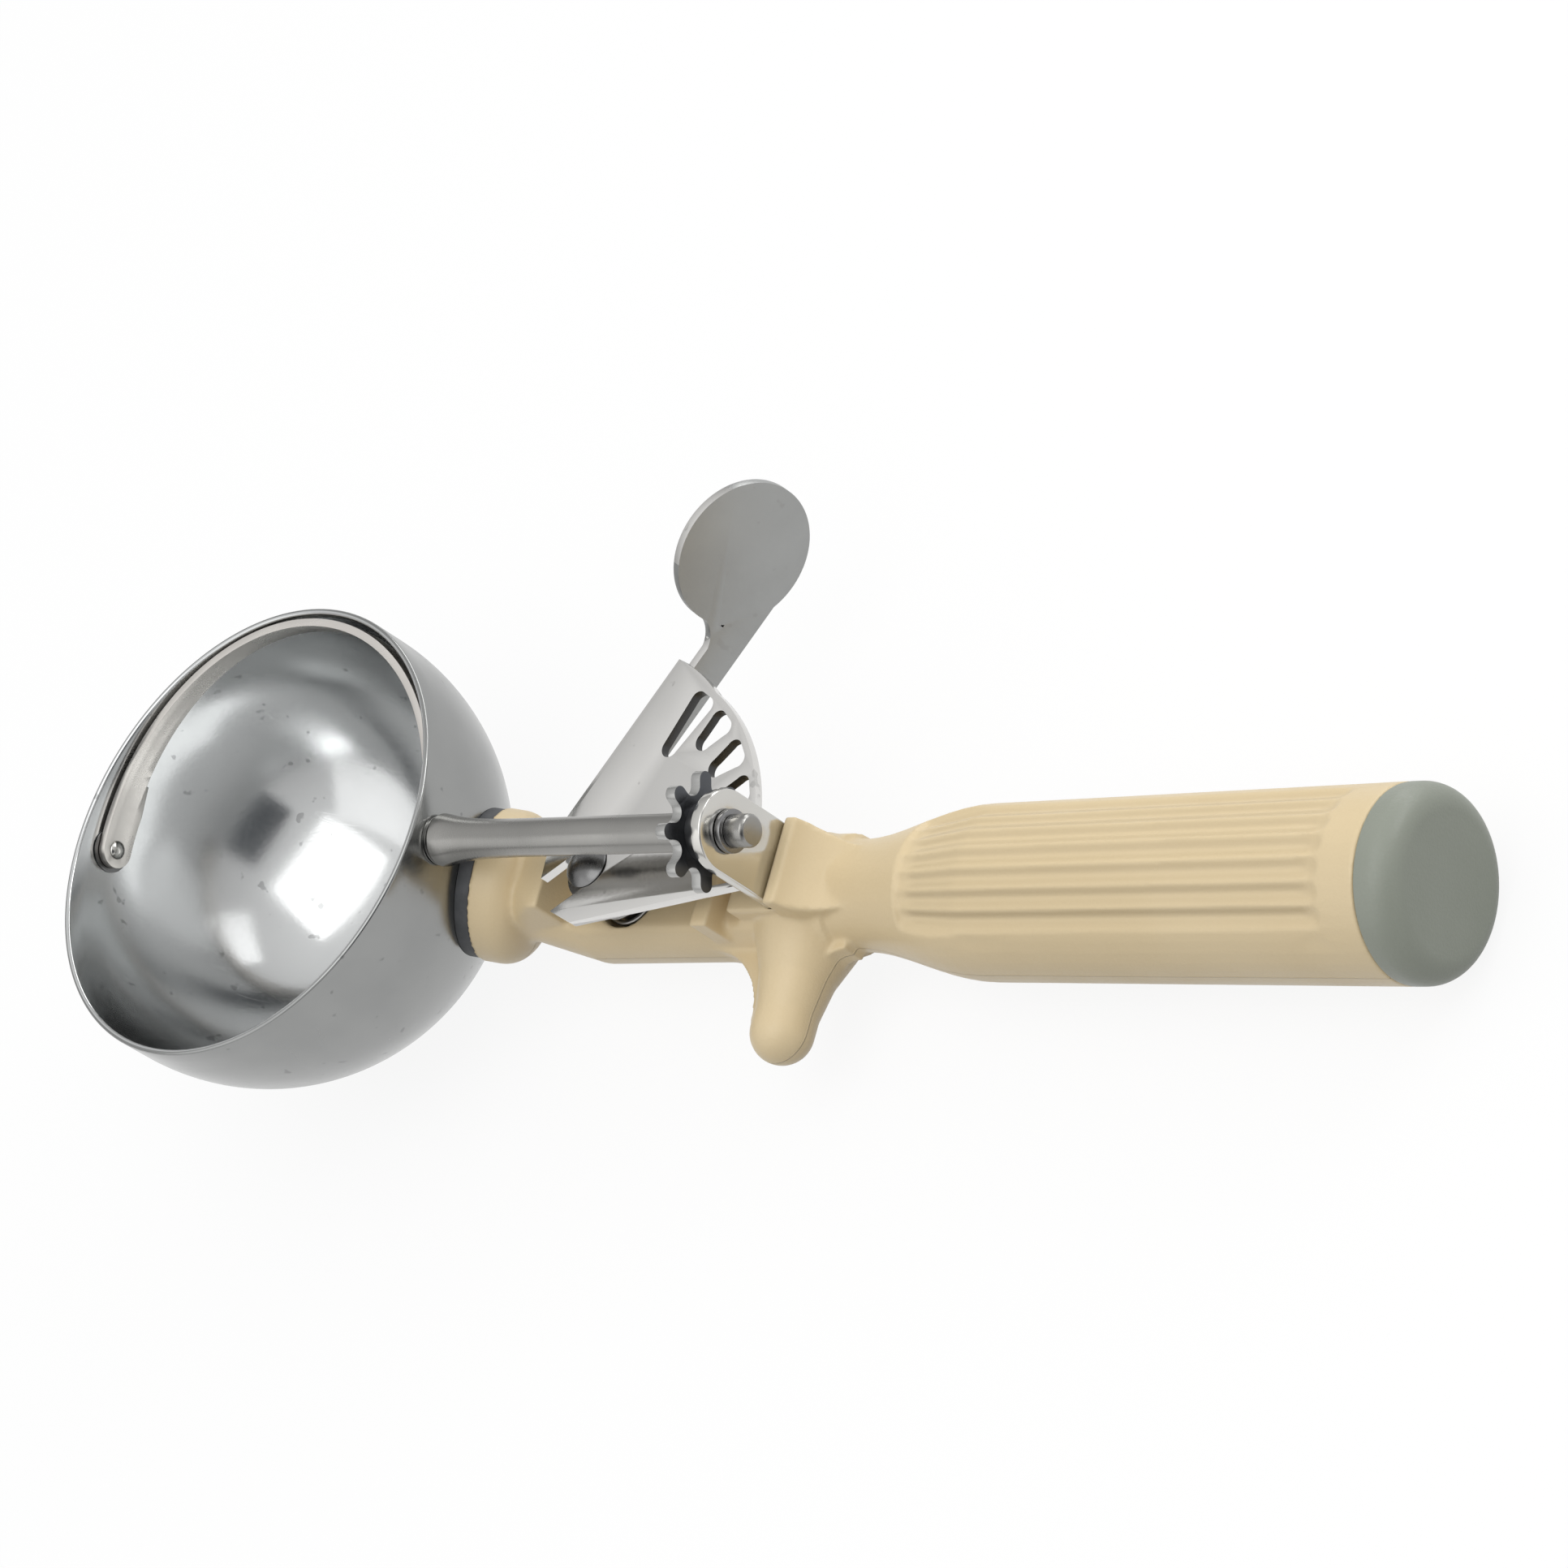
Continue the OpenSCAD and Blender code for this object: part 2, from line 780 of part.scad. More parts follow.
module hook_body() {
    y0 = hook_y - hook_r;
    translate([hook_x, 0, -grip_z])
        rotate([90, 0, 0]) {
            translate([0, 0, y0])
                sphere(r = hook_r);
            cylinder(r = hook_r, h = y0);
            translate([0, 0, 4])
                cylinder(r1 = hook_r + 4, r2 = hook_r + 0.9, h = 8);
            translate([0, 0, 12])
                cylinder(r1 = hook_r + 0.9, r2 = hook_r, h = 5);
        }
    hook_web(hook_x - hook_r, web_front, -1);
    hook_web(hook_x + hook_r, web_rear, 1);
}

module handle() {
    color([0.85, 0.77, 0.6])
    difference() {
        union() {
            boss_body();
            front_body();
            on_grip(neck_x)
                linear_extrude(height = ear_back + 0.1 - neck_x)
                    neck_flat();
            on_grip(ear_back)
                cylinder(r = neck_r - 0.3, h = 5);
            grip_body();
            wall_body();
            hook_body();
        }
        for (i = [0 : flutes - 1])
            translate([0, 0, -grip_z])
                rotate([flute_pitch * (i - (flutes - 1) / 2), 0, 0])
                    flute();
        translate([ear_x - fit, -ear_r - fit, -deck_z - 3.5])
            cube([ear_t + 2 * fit, 2 * (ear_r + fit), 20]);
        on_axis(ear_back - 0.1)
            cylinder(r = ear_r + 0.3, h = 12);
        translate([piv_x, piv_y, pocket_z]) {
            cylinder(r = pocket_r, h = 12);
            translate([0, 0, -stake_l - 1])
                cylinder(r = stake_r + fit / 2, h = stake_l + 2);
        }
        on_boss(boss_at - 1)
            cylinder(r = 4.6, h = 1.8);
        on_boss(boss_at)
            cylinder(r = 3.6 + fit / 2, h = 10.5);
        on_grip(grip_end - spigot_l - 1)
            cylinder(r = spigot_r + fit / 2, h = spigot_l + 5);
    }
}

module end_cap() {
    color([0.6, 0.63, 0.55])
    translate([grip_end, 0, -grip_z])
        rotate([0, 90, 0]) {
            translate([0, 0, 0.03])
                rotate_extrude($fn = 120)
                    intersection() {
                        union() {
                            square([grip_end_r, cap_l - cap_round]);
                            square([grip_end_r - cap_round, cap_l]);
                            translate([grip_end_r - cap_round, cap_l - cap_round])
                                circle(r = cap_round);
                        }
                        square([40, 40]);
                    }
            translate([0, 0, -spigot_l])
                cylinder(r = spigot_r, h = spigot_l + 1);
        }
}

module bowl_gasket() {
    color([0.1, 0.1, 0.11])
    difference() {
        on_boss(bowl_r - 4)
            cylinder(r = boss_r - gasket_in, h = boss_at - bowl_r + 4 - 0.02);
        translate([0, 0, axis_z])
            sphere(r = bowl_r + 0.02, $fn = 180);
        on_boss(bowl_r - 5)
            cylinder(r = 4.6, h = 20);
    }
}

module bowl_stud() {
    color([0.65, 0.65, 0.65])
    difference() {
        union() {
            on_boss(bowl_r - 1)
                cylinder(r = 4.5, h = boss_at - bowl_r + 1.7);
            on_boss(boss_at)
                cylinder(r = 2, h = 9.5);
        }
        translate([0, 0, axis_z])
            sphere(r = bowl_r + 0.02, $fn = 180);
    }
}

module stud_insert() {
    color([0.75, 0.6, 0.3])
    on_boss(boss_at + 0.9)
        difference() {
            cylinder(r = 3.6, h = 9.4);
            translate([0, 0, -1])
                cylinder(r = 2.03, h = 9.8);
        }
}

bowl();
blade();
blade_front_rivet();
blade_front_washer();
blade_rear_washer();
shaft_bush();
shaft();
shaft_sleeve();
pinion();
pinion_washer();
bearing_plate();
retaining_ring();
lever();
lever_pivot();
lever_washer();
return_spring();
handle();
end_cap();
bowl_gasket();
bowl_stud();
stud_insert();
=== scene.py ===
"""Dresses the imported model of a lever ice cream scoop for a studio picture.

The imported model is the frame: every piece made here sits where its solid sits and moves with the
body that the solid belongs to. All lengths are in metres.
"""

from __future__ import annotations

import logging
import math
from collections.abc import Callable, Iterable, Sequence
from dataclasses import dataclass
from enum import Enum

import bpy
from mathutils import Matrix, Vector


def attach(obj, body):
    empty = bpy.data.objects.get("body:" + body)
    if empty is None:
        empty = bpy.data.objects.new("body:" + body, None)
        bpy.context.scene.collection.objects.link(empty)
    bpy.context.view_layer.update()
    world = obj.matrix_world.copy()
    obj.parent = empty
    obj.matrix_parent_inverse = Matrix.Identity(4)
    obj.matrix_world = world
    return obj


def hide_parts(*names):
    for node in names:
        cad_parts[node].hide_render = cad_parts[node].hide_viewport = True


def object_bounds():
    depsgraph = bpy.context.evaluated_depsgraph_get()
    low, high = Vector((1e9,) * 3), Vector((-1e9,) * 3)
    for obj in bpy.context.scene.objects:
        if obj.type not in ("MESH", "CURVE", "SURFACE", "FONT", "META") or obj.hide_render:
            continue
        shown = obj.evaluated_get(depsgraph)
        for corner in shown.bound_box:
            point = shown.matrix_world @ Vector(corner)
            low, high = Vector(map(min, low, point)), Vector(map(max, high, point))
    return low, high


LOG = logging.getLogger("ice_cream_scoop")
MM = 0.001
Colour = tuple[float, float, float]
Point = tuple[float, float, float]
Piece = bpy.types.Object
Material = bpy.types.Material
Node = bpy.types.Node
Socket = bpy.types.NodeSocket

ORIGIN: Point = (0.0, 0.0, 0.0)
BOWL_AXIS_Z = -5.8 * MM
GRIP_AXIS_Z = -27.1 * MM
WELD = 2e-6

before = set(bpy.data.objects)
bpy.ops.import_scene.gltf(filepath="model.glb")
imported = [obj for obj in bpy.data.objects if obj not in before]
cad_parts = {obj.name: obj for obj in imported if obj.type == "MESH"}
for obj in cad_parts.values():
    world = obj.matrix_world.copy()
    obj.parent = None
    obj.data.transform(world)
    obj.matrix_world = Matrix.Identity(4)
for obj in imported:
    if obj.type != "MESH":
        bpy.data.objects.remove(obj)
CAD_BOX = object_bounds()


class Body(Enum):
    """The moving bodies of the scoop."""

    HANDLE = "handle_body"
    LEVER = "lever_body"
    BLADE = "blade_body"


class Grain(Enum):
    """How a metal surface was worked, as the stretch of its marks along X, Y and Z."""

    TURNED = (60.0, 5.0, 5.0)
    ROLLED = (4.0, 40.0, 40.0)
    TUMBLED = (14.0, 14.0, 14.0)


# ---------------------------------------------------------------------------------------- shading


class Tone:
    """A number that varies over a surface, usable in Python sums."""

    def __init__(self, board: Board, socket: Socket) -> None:
        """Wraps an output socket of a board.

        Args:
            board: The board that the socket is on.
            socket: The output that carries the number.
        """
        self.board = board
        self.socket = socket

    def _sum(self, operation: str, first: Tone | float, second: Tone | float) -> Tone:
        """Adds one Math node.

        Args:
            operation: The Math node's operation.
            first: Its first value.
            second: Its second value.

        Returns:
            The node's result.
        """
        made = self.board.node("ShaderNodeMath", {"operation": operation}, {0: first, 1: second})
        return Tone(self.board, made.outputs[0])

    def __add__(self, other: Tone | float) -> Tone:
        """Returns self + other."""
        return self._sum("ADD", self, other)

    def __sub__(self, other: Tone | float) -> Tone:
        """Returns self - other."""
        return self._sum("SUBTRACT", self, other)

    def __rsub__(self, other: float) -> Tone:
        """Returns other - self."""
        return self._sum("SUBTRACT", other, self)

    def __mul__(self, other: Tone | float) -> Tone:
        """Returns self * other."""
        return self._sum("MULTIPLY", self, other)

    def __abs__(self) -> Tone:
        """Returns the size of self."""
        return self._sum("ABSOLUTE", self, 0.0)

    def turned(self, across: Tone) -> Tone:
        """Returns the angle of (across, self) in radians, 0 along across."""
        return self._sum("ARCTAN2", self, across)

    def wave(self) -> Tone:
        """Returns the cosine of self."""
        return self._sum("COSINE", self, 0.0)

    def between(self, low: float, high: float) -> Tone:
        """Spreads low..high over 0..1 with soft ends.

        Args:
            low: The value that becomes 0.
            high: The value that becomes 1.

        Returns:
            The spread tone.
        """
        made = self.board.node(
            "ShaderNodeMapRange",
            {"interpolation_type": "SMOOTHSTEP"},
            {"Value": self, "From Min": low, "From Max": high},
        )
        return Tone(self.board, made.outputs[0])


class Board:
    """The node board of one finish, with its Principled shader."""

    def __init__(self, name: str) -> None:
        """Makes a new material with an empty board.

        Args:
            name: The material's name.
        """
        self.material = bpy.data.materials.new(name)
        self.material.use_nodes = True
        self.tree = self.material.node_tree
        self.shader = next(n for n in self.tree.nodes if n.type == "BSDF_PRINCIPLED")
        self.place = self.node("ShaderNodeTexCoord").outputs["Object"]

    def node(self, kind: str, settings: dict | None = None, sockets: dict | None = None) -> Node:
        """Adds a node.

        Args:
            kind: The node's type.
            settings: Its settings, which are set first.
            sockets: Values, tones or sockets for its inputs, by name or number.

        Returns:
            The node.
        """
        made = self.tree.nodes.new(kind)
        for key, value in (settings or {}).items():
            setattr(made, key, value)
        self.feed(made, sockets or {})
        return made

    def feed(self, node: Node, sockets: dict) -> None:
        """Gives a node's inputs their values or links.

        Args:
            node: The node.
            sockets: Values, tones or sockets by the input's name or number.
        """
        for key, value in sockets.items():
            value = value.socket if isinstance(value, Tone) else value
            if isinstance(value, Socket):
                self.tree.links.new(value, node.inputs[key])
            else:
                node.inputs[key].default_value = value

    def dress(self, **sockets: Tone | float | tuple | Socket) -> None:
        """Feeds the Principled shader, with spaces of its sockets' names written as underscores."""
        self.feed(self.shader, {key.replace("_", " "): value for key, value in sockets.items()})

    def axis(self, letter: str) -> Tone:
        """Returns one coordinate of the surface, in metres."""
        made = self.node("ShaderNodeSeparateXYZ", None, {0: self.place})
        return Tone(self, made.outputs[letter])

    def zone(self, name: str) -> Tone:
        """Returns 1 on the faces that a piece has marked with a name, and 0 elsewhere."""
        settings = {"attribute_type": "GEOMETRY", "attribute_name": name}
        made = self.node("ShaderNodeAttribute", settings)
        return Tone(self, made.outputs["Fac"])

    def moved(self, stretch: Point, turn: Point = ORIGIN, shift: Point = ORIGIN) -> Socket:
        """Stretches, turns and shifts the surface's coordinates.

        Args:
            stretch: The factor along each axis.
            turn: The turn round each axis, in radians.
            shift: The shift along each axis.

        Returns:
            The socket of the new coordinates.
        """
        sockets = {"Vector": self.place, "Scale": stretch, "Rotation": turn, "Location": shift}
        return self.node("ShaderNodeMapping", None, sockets).outputs[0]

    def noise(self, scale: float, detail: float = 3.0, vector: Socket | None = None) -> Tone:
        """Adds a noise.

        Args:
            scale: Its features per metre.
            detail: Its finer layers.
            vector: The coordinates to use in place of the surface's own.

        Returns:
            The noise, about 0.5.
        """
        sockets = {"Vector": vector or self.place, "Scale": scale, "Detail": detail}
        return Tone(self, self.node("ShaderNodeTexNoise", None, sockets).outputs[0])

    def blend(self, factor: Tone | float, first: Colour, second: Colour | Socket) -> Socket:
        """Mixes two colours.

        Args:
            factor: 0 for the first, 1 for the second.
            first: The first colour or socket.
            second: The second colour or socket.

        Returns:
            The socket of the mixed colour.
        """
        pair = [(*c, 1.0) if isinstance(c, tuple) else c for c in (first, second)]
        sockets = {0: factor, 6: pair[0], 7: pair[1]}
        made = self.node("ShaderNodeMix", {"data_type": "RGBA"}, sockets)
        return made.outputs[2]

    def relief(self, height: Tone, depth: float, under: Socket | None = None) -> Socket:
        """Turns a height into a bumped normal.

        Args:
            height: The height, 0 to 1.
            depth: What a height of 1 stands for, in metres.
            under: A normal to build on.

        Returns:
            The socket of the normal.
        """
        sockets = {"Height": height, "Distance": depth, "Strength": 1.0}
        made = self.node("ShaderNodeBump", None, sockets)
        if under is not None:
            self.feed(made, {"Normal": under})
        return made.outputs[0]


@dataclass(frozen=True)
class Zone:
    """A part of a piece whose steel is painted lighter or darker than the rest, as painted light or
    painted shade.
    """

    name: str
    colour: Colour
    rougher: float = 0.0


@dataclass(frozen=True)
class SteelFinish:
    """Stainless steel, from satin to polished, with handling marks, and zones of painted light and
    painted shade.
    """

    name: str
    colour: Colour = (0.60, 0.60, 0.59)
    stain: Colour = (0.44, 0.44, 0.43)
    roughness: float = 0.3
    wander: float = 0.12
    grain: Grain = Grain.TUMBLED
    grain_depth: float = 0.000004
    marks: float = 0.5
    specks: float = 0.0
    zones: tuple[Zone, ...] = ()
    stain_share: float = 0.45
    worn_shade: float = 0.84
    speck_shade: float = 0.45
    mark_roughness: float = 0.12
    mark_depth: float = 0.5

    def scratches(self, board: Board) -> Tone:
        """Draws two crossing sets of fine lines, each in patches.

        Args:
            board: The board to draw on.

        Returns:
            1 in a scratch, 0 elsewhere.
        """
        scored: Tone | float = 0.0
        for turn, shift in ((0.5, 0.0), (1.9, 3.1)):
            drawn = board.moved((4.0, 60.0, 9.0), (0.4, turn, turn), (shift,) * 3)
            lines = abs(board.noise(9.0, 1.0, drawn) - 0.5)
            spread = board.moved((1.0,) * 3, shift=(shift, shift, 0.0))
            patch = board.noise(90.0, 1.0, spread).between(0.56, 0.72)
            scored = (1.0 - lines.between(0.0, 0.012)) * patch + scored
        return scored

    def material(self) -> Material:
        """Builds the material of this finish.

        Returns:
            The material.
        """
        board = Board(self.name)
        cloud = board.noise(70.0, 4.0).between(0.3, 0.75)
        brushed = board.noise(110.0, 2.0, board.moved(self.grain.value))
        colour = board.blend(cloud * self.stain_share, self.colour, self.stain)
        rough = (cloud - 0.5) * self.wander + (brushed - 0.5) * self.wander + self.roughness
        # Each zone paints its faces lighter or darker, as painted light or painted shade, mottled
        # by the same random cloud as the stain.
        for zone in self.zones:
            mask = board.zone(zone.name)
            dull = tuple(c * self.worn_shade for c in zone.colour)
            zone_light_and_stain = board.blend(cloud * self.stain_share, zone.colour, dull)
            colour = board.blend(mask, colour, zone_light_and_stain)
            rough = mask * zone.rougher + rough
        scored = self.scratches(board)
        if self.specks:
            pits = board.noise(420.0, 2.0).between(0.68, 0.74)
            pitted = tuple(c * self.speck_shade for c in self.stain)
            colour = board.blend(pits * self.specks, colour, pitted)
        rough = scored * (self.mark_roughness * self.marks) + rough
        height = brushed - scored * (self.mark_depth * self.marks)
        board.dress(
            Base_Color=colour,
            Metallic=1.0,
            Roughness=rough,
            Normal=board.relief(height, self.grain_depth),
        )
        return board.material


@dataclass(frozen=True)
class Flutes:
    """The flutes of a grip, whose modelled valleys the finish deepens. Angles are in degrees."""

    axis_z: float
    pitch: float = 14.0
    count: int = 7
    start: float = 107.5 * MM
    end: float = 177.5 * MM
    depth: float = 0.4 * MM
    fade: float = 3.0 * MM
    side_fade: float = 1.0

    def height(self, board: Board) -> Tone:
        """Draws the relief of the flutes.

        Args:
            board: The board to draw on.

        Returns:
            1 on the grip and on the crests, and 0 in the valleys.
        """
        around = board.axis("Y").turned(board.axis("Z") - self.axis_z)
        half = self.pitch * self.count / 2
        outside = abs(around).between(math.radians(half - self.side_fade), math.radians(half))
        inside = 1.0 - outside
        begun = board.axis("X").between(self.start, self.start + self.fade)
        ended = board.axis("X").between(self.end - self.fade, self.end)
        along = begun * (1.0 - ended)
        valley = (around * (360.0 / self.pitch)).wave() * 0.5 + 0.5
        return 1.0 - valley * inside * along


@dataclass(frozen=True)
class MouldedFinish:
    """Moulded plastic with a fine grain, and the seam that the two mould halves leave."""

    name: str
    colour: Colour
    shade: Colour
    roughness: float = 0.4
    grain_scale: float = 2600.0
    grain_depth: float = 0.00003
    seam_z: float | None = None
    flutes: Flutes | None = None
    seam_inner: float = 0.04 * MM
    seam_outer: float = 0.22 * MM
    seam_depth: float = 0.12 * MM
    seam_shade: float = 0.78
    specular: float = 0.42

    def material(self) -> Material:
        """Builds the material of this finish.

        Returns:
            The material.
        """
        board = Board(self.name)
        cloud = board.noise(45.0, 3.0).between(0.3, 0.7)
        fine = board.noise(self.grain_scale, 2.0)
        colour = board.blend(cloud * 0.5 + (fine - 0.5) * 0.5, self.colour, self.shade)
        normal = board.relief(fine + board.noise(300.0, 2.0) * 0.8, self.grain_depth)
        if self.flutes is not None:
            normal = board.relief(self.flutes.height(board), self.flutes.depth, normal)
        if self.seam_z is not None:
            side = board.axis("Y").between(MM, -MM)
            away = abs(board.axis("Z") - self.seam_z).between(self.seam_inner, self.seam_outer)
            seam = (1.0 - away) * side
            normal = board.relief(seam, self.seam_depth, normal)
            line = tuple(c * self.seam_shade for c in self.shade)
            colour = board.blend(seam * 0.25, colour, line)
        board.dress(
            Base_Color=colour,
            Roughness=(fine - 0.5) * 0.15 + (cloud - 0.5) * 0.08 + self.roughness,
            Normal=normal,
            Specular_IOR_Level=self.specular,
        )
        return board.material


@dataclass(frozen=True)
class RubberFinish:
    """Black sealing rubber, matt with a bloom."""

    name: str = "black_rubber"
    colour: Colour = (0.045, 0.048, 0.052)
    bloom: Colour = (0.085, 0.088, 0.094)

    def material(self) -> Material:
        """Returns the material of this finish."""
        board = Board(self.name)
        cloud = board.noise(260.0, 3.0).between(0.35, 0.7)
        board.dress(
            Base_Color=board.blend(cloud, self.colour, self.bloom),
            Roughness=cloud * 0.15 + 0.55,
            Normal=board.relief(board.noise(1800.0, 2.0), 0.00003),
        )
        return board.material


# -------------------------------------------------------------------------------------- modelling


class Bench:
    """Modelling moves that the sub-assemblies share."""

    @staticmethod
    def clear() -> None:
        """Deselects everything."""
        bpy.ops.object.select_all(action="DESELECT")

    @staticmethod
    def hold(piece: Piece) -> None:
        """Makes a piece the only selected and the active one."""
        Bench.clear()
        piece.select_set(True)
        bpy.context.view_layer.objects.active = piece

    @staticmethod
    def spun(
        name: str,
        outline: Sequence[tuple[float, float]],
        turn: Matrix,
        steps: int = 96,
        smooth: float = 32.0,
    ) -> Piece:
        """Spins an outline round the Z axis of a place.

        Args:
            name: The piece's name.
            outline: Points of (radius, height), in order.
            turn: The place, whose Z axis is the axis of the spin.
            steps: The steps of the whole turn.
            smooth: The angle under which faces shade smoothly, in degrees.

        Returns:
            The piece.
        """
        Bench.clear()
        bpy.ops.mesh.primitive_plane_add(size=0.001)
        piece = bpy.context.active_object
        piece.name = name
        bpy.ops.object.mode_set(mode="EDIT")
        bpy.ops.mesh.select_all(action="SELECT")
        bpy.ops.mesh.merge(type="CENTER")
        bpy.ops.transform.translate(value=(outline[0][0], 0.0, outline[0][1]))
        for before, after in zip(outline, outline[1:]):
            step = (after[0] - before[0], 0.0, after[1] - before[1])
            bpy.ops.mesh.extrude_region_move(TRANSFORM_OT_translate={"value": step})
        bpy.ops.mesh.select_all(action="SELECT")
        bpy.ops.mesh.spin(steps=steps, angle=2 * math.pi, center=(0, 0, 0), axis=(0, 0, 1))
        bpy.ops.mesh.select_all(action="SELECT")
        bpy.ops.mesh.remove_doubles(threshold=WELD)
        bpy.ops.mesh.normals_make_consistent(inside=False)
        bpy.ops.object.mode_set(mode="OBJECT")
        piece.data.transform(turn)
        return Bench.smoothed(piece, smooth)

    @staticmethod
    def welded(node: str, name: str) -> Piece:
        """Starts a piece from a merged copy of a solid.

        Args:
            node: The solid's name.
            name: The new piece's name.

        Returns:
            The piece, with its flat faces whole.
        """
        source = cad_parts[node]
        piece = bpy.data.objects.new(name, source.data.copy())
        bpy.context.scene.collection.objects.link(piece)
        piece.data.materials.clear()
        Bench.hold(piece)
        bpy.ops.mesh.customdata_custom_splitnormals_clear()
        bpy.ops.object.mode_set(mode="EDIT")
        bpy.ops.mesh.select_all(action="SELECT")
        bpy.ops.mesh.remove_doubles(threshold=WELD)
        bpy.ops.mesh.dissolve_limited(angle_limit=math.radians(0.3))
        bpy.ops.object.mode_set(mode="OBJECT")
        return piece

    @staticmethod
    def modified(piece: Piece, kind: str, **settings: object) -> Piece:
        """Adds one modifier and applies it.

        Args:
            piece: The piece.
            kind: The modifier's type.
            **settings: The modifier's settings.

        Returns:
            The piece.
        """
        Bench.hold(piece)
        modifier = piece.modifiers.new(kind.lower(), kind)
        for key, value in settings.items():
            setattr(modifier, key, value)
        bpy.ops.object.modifier_apply(modifier=modifier.name)
        return piece

    @staticmethod
    def eased(piece: Piece, width: float, segments: int = 2, angle: float = 30.0) -> Piece:
        """Rounds a piece's sharp edges.

        Args:
            piece: The piece.
            width: The rounding's width.
            segments: The faces across it.
            angle: The least angle of an edge that counts as sharp, in degrees.

        Returns:
            The piece.
        """
        Bench.modified(
            piece, "BEVEL", width=width, segments=segments, limit_method="ANGLE",
            angle_limit=math.radians(angle), use_clamp_overlap=True, miter_outer="MITER_ARC",
        )
        return Bench.smoothed(piece, 35.0)

    @staticmethod
    def smoothed(piece: Piece, angle: float) -> Piece:
        """Shades a piece smoothly except over edges sharper than an angle in degrees."""
        Bench.hold(piece)
        bpy.ops.object.shade_smooth_by_angle(angle=math.radians(angle))
        return piece

    @staticmethod
    def mark(piece: Piece, name: str, test: Callable[[Vector, Vector], bool]) -> None:
        """Marks some of a piece's faces for its finish.

        Args:
            piece: The piece.
            name: The mark's name.
            test: Says of a face's centre and normal whether it is marked.
        """
        mark = piece.data.attributes.new(name, "FLOAT", "FACE")
        values = [float(test(face.center, face.normal)) for face in piece.data.polygons]
        mark.data.foreach_set("value", values)

    @staticmethod
    def finish(
        piece: Piece, material: Material, body: Body, nodes: Iterable[str], slot: str
    ) -> None:
        """Dresses a piece and fits it to the frame.

        Args:
            piece: The piece.
            material: Its material.
            body: The body that it moves with.
            nodes: The solids that it stands for.
            slot: The name of its material slot, which is not used.
        """
        piece.data.materials.clear()
        piece.data.materials.append(material)
        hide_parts(*nodes)
        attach(piece, body.value)
        LOG.info("%s: %d faces", piece.name, len(piece.data.polygons))

    @staticmethod
    def repaint(node: str, material: Material) -> None:
        """Gives a shown solid a better material."""
        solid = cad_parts[node]
        solid.data.materials.clear()
        solid.data.materials.append(material)
        LOG.info("%s: repainted", node)


def arc(
    centre: tuple[float, float], radius: float, start: float, end: float, steps: int
) -> list[tuple[float, float]]:
    """Points along an arc.

    Args:
        centre: The arc's centre.
        radius: Its radius.
        start: Its first angle, in degrees.
        end: Its last angle, in degrees.
        steps: The steps between them.

    Returns:
        The points, both ends included.
    """
    angles = [math.radians(start + (end - start) * i / steps) for i in range(steps + 1)]
    return [(centre[0] + radius * math.cos(a), centre[1] + radius * math.sin(a)) for a in angles]


def along_x(x: float, y: float, z: float) -> Matrix:
    """Returns a place at a point whose Z axis runs along +X."""
    return Matrix.Translation((x, y, z)) @ Matrix.Rotation(math.pi / 2, 4, "Y")


# ------------------------------------------------------------------------------------------ scoop


@dataclass
class Bowl:
    """The pressed bowl with its rounded rim."""

    radius: float = 34.0 * MM
    wall: float = 0.9 * MM
    axis_z: float = BOWL_AXIS_Z
    bush_hole: float = 2.7 * MM
    rivet_hole: float = 0.93 * MM
    drill_length: float = 8 * MM

    def build(self, steel: Material) -> None:
        """Builds the bowl.

        Args:
            steel: Its material.
        """
        inner = self.radius - self.wall
        lip = self.wall / 2
        outline = [
            *arc((0.0, self.axis_z), self.radius, -90, 0, 44),
            (self.radius, self.axis_z / 2),
            *arc((self.radius - lip, -lip), lip, 0, 180, 8),
            (inner, self.axis_z / 2),
            *arc((0.0, self.axis_z), inner, 0, -90, 44),
        ]
        shell = Bench.spun("bowl_shell", outline, Matrix.Identity(4), 160)
        for x, hole in ((self.radius, self.bush_hole), (-self.radius, self.rivet_hole)):
            Bench.clear()
            bpy.ops.mesh.primitive_cylinder_add(
                vertices=40, radius=hole, depth=self.drill_length,
                location=(x, 0, self.axis_z), rotation=(0, math.pi / 2, 0),
            )
            drill = bpy.context.active_object
            Bench.modified(shell, "BOOLEAN", operation="DIFFERENCE", object=drill, solver="EXACT")
            bpy.data.objects.remove(drill)
        Bench.smoothed(shell, 32.0)
        # The inner mark carries the bowl's inside, whose steel is painted lighter than the outside,
        # as painted light.
        Bench.mark(shell, "inner", self.is_inner)
        Bench.finish(shell, steel, Body.HANDLE, ["bowl"], "bowl_steel")

    def is_inner(self, place: Vector, facing: Vector) -> bool:
        """Says whether a face lies on the inside of the bowl, whichever way it faces."""
        out = Vector((place.x, place.y, min(place.z - self.axis_z, 0.0)))
        return out.length < self.radius - self.wall / 2


@dataclass
class Sweep:
    """The release blade and its front rivet."""

    edge: float = 0.22 * MM
    rivet_edge: float = 0.15 * MM

    def build(self, steel: Material, bright: Material, dark: Material) -> None:
        """Builds the blade and repaints its small parts.

        Args:
            steel: The blade's material.
            bright: The rivet's material.
            dark: The spacers' material.
        """
        blade = Bench.eased(Bench.welded("blade", "release_blade"), self.edge, 3, 40.0)
        Bench.finish(blade, steel, Body.BLADE, ["blade"], "blade_steel")
        rivet = Bench.welded("blade_front_rivet", "front_rivet")
        Bench.eased(rivet, self.rivet_edge, 2, 40.0)
        Bench.finish(rivet, bright, Body.HANDLE, ["blade_front_rivet"], "rivet_steel")
        for node in ("blade_front_washer", "blade_rear_washer"):
            Bench.repaint(node, dark)


